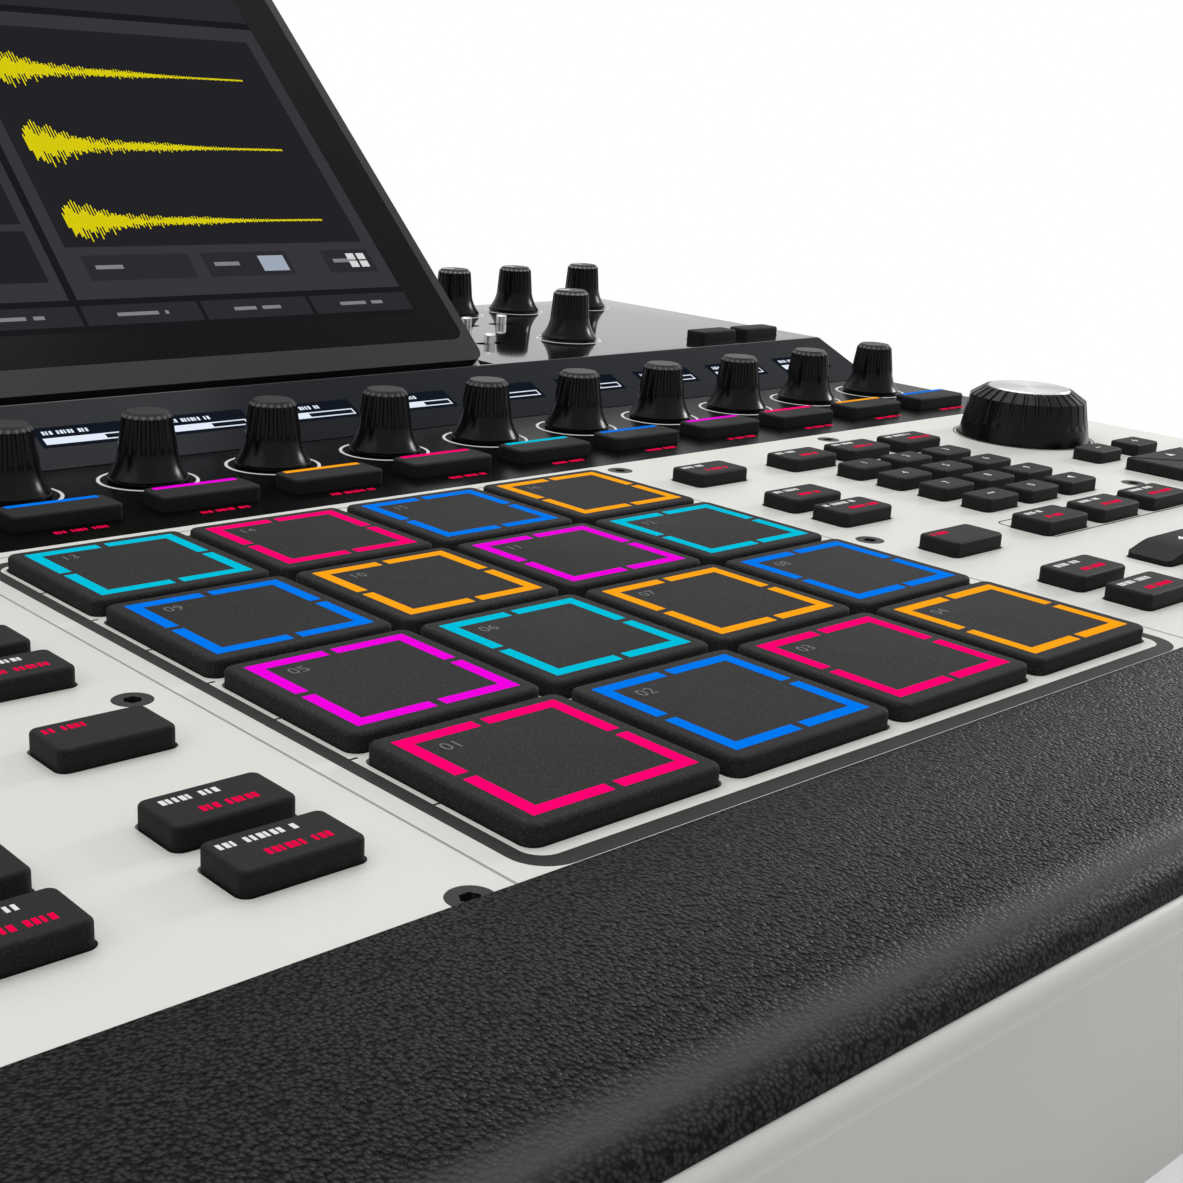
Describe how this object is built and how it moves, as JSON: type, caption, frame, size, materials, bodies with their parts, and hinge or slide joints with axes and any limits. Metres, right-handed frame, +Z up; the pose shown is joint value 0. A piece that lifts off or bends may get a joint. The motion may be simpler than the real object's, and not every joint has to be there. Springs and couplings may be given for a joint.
{
  "type": "music workstation",
  "caption": "Desktop music workstation with a grid of lit pads, key fields, a knob row under a sloped display strip, a data dial, a padded front rest and a tilting screen.",
  "frame": {"origin": "centre of the footprint, on the surface that the feet stand on, with the screen at its rest tilt", "axes": "+X to the player's right along the front edge, +Y away from the player, +Z up"},
  "size_m": [0.552, 0.436, 0.1901],
  "materials": {
    "case_white": "satin off-white moulding",
    "panel_white": "fine satin off-white paint",
    "foot_rubber": "matt black rubber",
    "rest_leatherette": "black pebbled soft cover",
    "screw_black": "black oxide hex-socket screws",
    "strip_black": "satin black plate",
    "lens_black": "smoked gloss lens",
    "display_module": "small display behind the lens",
    "deck_grey": "dark glossy grey",
    "encoder_metal": "plain metal",
    "board_green": "circuit board",
    "supply_can": "folded sheet can",
    "socket_black": "black socket moulding",
    "hinge_steel": "dark steel",
    "bezel_grey": "dark grey satin frame",
    "screen_glass": "lit touch screen under gloss glass",
    "knob_black": "satin black, fluted",
    "dial_aluminium": "spun cap",
    "switch_chrome": "bright pins",
    "pad_rubber": "speckled black silicone with lit borders",
    "key_black": "matt black keys"
  },
  "bodies": {
    "case": {"lower_chassis": "case_white", "rubber_feet": "foot_rubber", "armrest_pad": "rest_leatherette", "main_panel": "panel_white", "panel_screws": "screw_black", "knob_strip": "strip_black", "display_strip": "lens_black", "oled_modules": "display_module", "rear_deck": "deck_grey", "encoder_bodies": "encoder_metal", "circuit_boards": "board_green", "power_supply": "supply_can", "rear_sockets": "socket_black", "hinge_brackets": "hinge_steel"},
    "display": {"display_shell": "case_white", "display_bezel": "bezel_grey", "display_glass": "screen_glass"},
    "dial": {"data_dial": "knob_black", "dial_cap": "dial_aluminium"},
    "slide_switches": {"slide_switches": "switch_chrome"},
    "pad_01": {"pad_01": "pad_rubber"},
    "pad_02": {"pad_02": "pad_rubber"},
    "pad_03": {"pad_03": "pad_rubber"},
    "pad_04": {"pad_04": "pad_rubber"},
    "pad_05": {"pad_05": "pad_rubber"},
    "pad_06": {"pad_06": "pad_rubber"},
    "pad_07": {"pad_07": "pad_rubber"},
    "pad_08": {"pad_08": "pad_rubber"},
    "pad_09": {"pad_09": "pad_rubber"},
    "pad_10": {"pad_10": "pad_rubber"},
    "pad_11": {"pad_11": "pad_rubber"},
    "pad_12": {"pad_12": "pad_rubber"},
    "pad_13": {"pad_13": "pad_rubber"},
    "pad_14": {"pad_14": "pad_rubber"},
    "pad_15": {"pad_15": "pad_rubber"},
    "pad_16": {"pad_16": "pad_rubber"},
    "encoder_knob_01": {"encoder_knob_01": "knob_black"},
    "encoder_knob_02": {"encoder_knob_02": "knob_black"},
    "encoder_knob_03": {"encoder_knob_03": "knob_black"},
    "encoder_knob_04": {"encoder_knob_04": "knob_black"},
    "encoder_knob_05": {"encoder_knob_05": "knob_black"},
    "encoder_knob_06": {"encoder_knob_06": "knob_black"},
    "encoder_knob_07": {"encoder_knob_07": "knob_black"},
    "encoder_knob_08": {"encoder_knob_08": "knob_black"},
    "encoder_knob_09": {"encoder_knob_09": "knob_black"},
    "encoder_knob_10": {"encoder_knob_10": "knob_black"},
    "encoder_knob_11": {"encoder_knob_11": "knob_black"},
    "encoder_knob_12": {"encoder_knob_12": "knob_black"},
    "encoder_knob_13": {"encoder_knob_13": "knob_black"},
    "encoder_knob_14": {"encoder_knob_14": "knob_black"},
    "encoder_knob_15": {"encoder_knob_15": "knob_black"},
    "encoder_knob_16": {"encoder_knob_16": "knob_black"},
    "deck_knob_1": {"deck_knob_1": "knob_black"},
    "deck_knob_2": {"deck_knob_2": "knob_black"},
    "deck_knob_3": {"deck_knob_3": "knob_black"},
    "deck_knob_4": {"deck_knob_4": "knob_black"},
    "strip_keys": {"strip_keys": "key_black"},
    "number_keys": {"number_keys": "key_black"},
    "left_keys": {"left_keys": "key_black"},
    "right_keys": {"right_keys": "key_black"}
  },
  "joints": [
    {"name": "display_tilt", "type": "hinge", "parent": "case", "child": "display", "pos_m": [0, 0.09179, 0.07704], "axis": [1, 0, 0], "range_deg": [-26, 19]},
    {"name": "pad_01_press", "type": "slide", "parent": "case", "child": "pad_01", "axis": [0, 0, -1], "range_m": [0, 0.0008], "stiffness_N_per_m": 600, "springref_m": -0.001},
    {"name": "pad_02_press", "type": "slide", "parent": "case", "child": "pad_02", "axis": [0, 0, -1], "range_m": [0, 0.0008], "stiffness_N_per_m": 600, "springref_m": -0.001},
    {"name": "pad_03_press", "type": "slide", "parent": "case", "child": "pad_03", "axis": [0, 0, -1], "range_m": [0, 0.0008], "stiffness_N_per_m": 600, "springref_m": -0.001},
    {"name": "pad_04_press", "type": "slide", "parent": "case", "child": "pad_04", "axis": [0, 0, -1], "range_m": [0, 0.0008], "stiffness_N_per_m": 600, "springref_m": -0.001},
    {"name": "pad_05_press", "type": "slide", "parent": "case", "child": "pad_05", "axis": [0, 0, -1], "range_m": [0, 0.0008], "stiffness_N_per_m": 600, "springref_m": -0.001},
    {"name": "pad_06_press", "type": "slide", "parent": "case", "child": "pad_06", "axis": [0, 0, -1], "range_m": [0, 0.0008], "stiffness_N_per_m": 600, "springref_m": -0.001},
    {"name": "pad_07_press", "type": "slide", "parent": "case", "child": "pad_07", "axis": [0, 0, -1], "range_m": [0, 0.0008], "stiffness_N_per_m": 600, "springref_m": -0.001},
    {"name": "pad_08_press", "type": "slide", "parent": "case", "child": "pad_08", "axis": [0, 0, -1], "range_m": [0, 0.0008], "stiffness_N_per_m": 600, "springref_m": -0.001},
    {"name": "pad_09_press", "type": "slide", "parent": "case", "child": "pad_09", "axis": [0, 0, -1], "range_m": [0, 0.0008], "stiffness_N_per_m": 600, "springref_m": -0.001},
    {"name": "pad_10_press", "type": "slide", "parent": "case", "child": "pad_10", "axis": [0, 0, -1], "range_m": [0, 0.0008], "stiffness_N_per_m": 600, "springref_m": -0.001},
    {"name": "pad_11_press", "type": "slide", "parent": "case", "child": "pad_11", "axis": [0, 0, -1], "range_m": [0, 0.0008], "stiffness_N_per_m": 600, "springref_m": -0.001},
    {"name": "pad_12_press", "type": "slide", "parent": "case", "child": "pad_12", "axis": [0, 0, -1], "range_m": [0, 0.0008], "stiffness_N_per_m": 600, "springref_m": -0.001},
    {"name": "pad_13_press", "type": "slide", "parent": "case", "child": "pad_13", "axis": [0, 0, -1], "range_m": [0, 0.0008], "stiffness_N_per_m": 600, "springref_m": -0.001},
    {"name": "pad_14_press", "type": "slide", "parent": "case", "child": "pad_14", "axis": [0, 0, -1], "range_m": [0, 0.0008], "stiffness_N_per_m": 600, "springref_m": -0.001},
    {"name": "pad_15_press", "type": "slide", "parent": "case", "child": "pad_15", "axis": [0, 0, -1], "range_m": [0, 0.0008], "stiffness_N_per_m": 600, "springref_m": -0.001},
    {"name": "pad_16_press", "type": "slide", "parent": "case", "child": "pad_16", "axis": [0, 0, -1], "range_m": [0, 0.0008], "stiffness_N_per_m": 600, "springref_m": -0.001},
    {"name": "encoder_knob_01_turn", "type": "hinge", "parent": "case", "child": "encoder_knob_01", "pos_m": [-0.25125, 0.03593, 0.066], "axis": [0, 0, 1], "continuous": true},
    {"name": "encoder_knob_02_turn", "type": "hinge", "parent": "case", "child": "encoder_knob_02", "pos_m": [-0.21775, 0.03593, 0.066], "axis": [0, 0, 1], "continuous": true},
    {"name": "encoder_knob_03_turn", "type": "hinge", "parent": "case", "child": "encoder_knob_03", "pos_m": [-0.18425, 0.03593, 0.066], "axis": [0, 0, 1], "continuous": true},
    {"name": "encoder_knob_04_turn", "type": "hinge", "parent": "case", "child": "encoder_knob_04", "pos_m": [-0.15075, 0.03593, 0.066], "axis": [0, 0, 1], "continuous": true},
    {"name": "encoder_knob_05_turn", "type": "hinge", "parent": "case", "child": "encoder_knob_05", "pos_m": [-0.11725, 0.03593, 0.066], "axis": [0, 0, 1], "continuous": true},
    {"name": "encoder_knob_06_turn", "type": "hinge", "parent": "case", "child": "encoder_knob_06", "pos_m": [-0.08375, 0.03593, 0.066], "axis": [0, 0, 1], "continuous": true},
    {"name": "encoder_knob_07_turn", "type": "hinge", "parent": "case", "child": "encoder_knob_07", "pos_m": [-0.05025, 0.03593, 0.066], "axis": [0, 0, 1], "continuous": true},
    {"name": "encoder_knob_08_turn", "type": "hinge", "parent": "case", "child": "encoder_knob_08", "pos_m": [-0.01675, 0.03593, 0.066], "axis": [0, 0, 1], "continuous": true},
    {"name": "encoder_knob_09_turn", "type": "hinge", "parent": "case", "child": "encoder_knob_09", "pos_m": [0.01675, 0.03593, 0.066], "axis": [0, 0, 1], "continuous": true},
    {"name": "encoder_knob_10_turn", "type": "hinge", "parent": "case", "child": "encoder_knob_10", "pos_m": [0.05025, 0.03593, 0.066], "axis": [0, 0, 1], "continuous": true},
    {"name": "encoder_knob_11_turn", "type": "hinge", "parent": "case", "child": "encoder_knob_11", "pos_m": [0.08375, 0.03593, 0.066], "axis": [0, 0, 1], "continuous": true},
    {"name": "encoder_knob_12_turn", "type": "hinge", "parent": "case", "child": "encoder_knob_12", "pos_m": [0.11725, 0.03593, 0.066], "axis": [0, 0, 1], "continuous": true},
    {"name": "encoder_knob_13_turn", "type": "hinge", "parent": "case", "child": "encoder_knob_13", "pos_m": [0.15075, 0.03593, 0.066], "axis": [0, 0, 1], "continuous": true},
    {"name": "encoder_knob_14_turn", "type": "hinge", "parent": "case", "child": "encoder_knob_14", "pos_m": [0.18425, 0.03593, 0.066], "axis": [0, 0, 1], "continuous": true},
    {"name": "encoder_knob_15_turn", "type": "hinge", "parent": "case", "child": "encoder_knob_15", "pos_m": [0.21775, 0.03593, 0.066], "axis": [0, 0, 1], "continuous": true},
    {"name": "encoder_knob_16_turn", "type": "hinge", "parent": "case", "child": "encoder_knob_16", "pos_m": [0.25125, 0.03593, 0.066], "axis": [0, 0, 1], "continuous": true},
    {"name": "deck_knob_1_turn", "type": "hinge", "parent": "case", "child": "deck_knob_1", "pos_m": [0.1843, 0.17723, 0.0769], "axis": [0, 0, 1], "range_deg": [-150, 150]},
    {"name": "deck_knob_2_turn", "type": "hinge", "parent": "case", "child": "deck_knob_2", "pos_m": [0.2133, 0.17723, 0.0769], "axis": [0, 0, 1], "range_deg": [-150, 150]},
    {"name": "deck_knob_3_turn", "type": "hinge", "parent": "case", "child": "deck_knob_3", "pos_m": [0.2479, 0.17723, 0.0769], "axis": [0, 0, 1], "range_deg": [-150, 150]},
    {"name": "deck_knob_4_turn", "type": "hinge", "parent": "case", "child": "deck_knob_4", "pos_m": [0.1827, 0.11233, 0.0769], "axis": [0, 0, 1], "range_deg": [-150, 150]},
    {"name": "dial_turn", "type": "hinge", "parent": "case", "child": "dial", "pos_m": [0.2312, -0.03727, 0.066], "axis": [0, 0, 1], "continuous": true},
    {"name": "strip_keys_press", "type": "slide", "parent": "case", "child": "strip_keys", "axis": [0, 0, -1], "range_m": [0, 0.001], "stiffness_N_per_m": 1500, "springref_m": -0.001},
    {"name": "number_keys_press", "type": "slide", "parent": "case", "child": "number_keys", "axis": [0, 0, -1], "range_m": [0, 0.001], "stiffness_N_per_m": 800, "springref_m": -0.001},
    {"name": "left_keys_press", "type": "slide", "parent": "case", "child": "left_keys", "axis": [0, 0, -1], "range_m": [0, 0.001], "stiffness_N_per_m": 2200, "springref_m": -0.001},
    {"name": "right_keys_press", "type": "slide", "parent": "case", "child": "right_keys", "axis": [0, 0, -1], "range_m": [0, 0.001], "stiffness_N_per_m": 2000, "springref_m": -0.001},
    {"name": "slide_switches_throw", "type": "slide", "parent": "case", "child": "slide_switches", "axis": [1, 0, 0], "range_m": [-0.003, 0.003]}
  ]
}
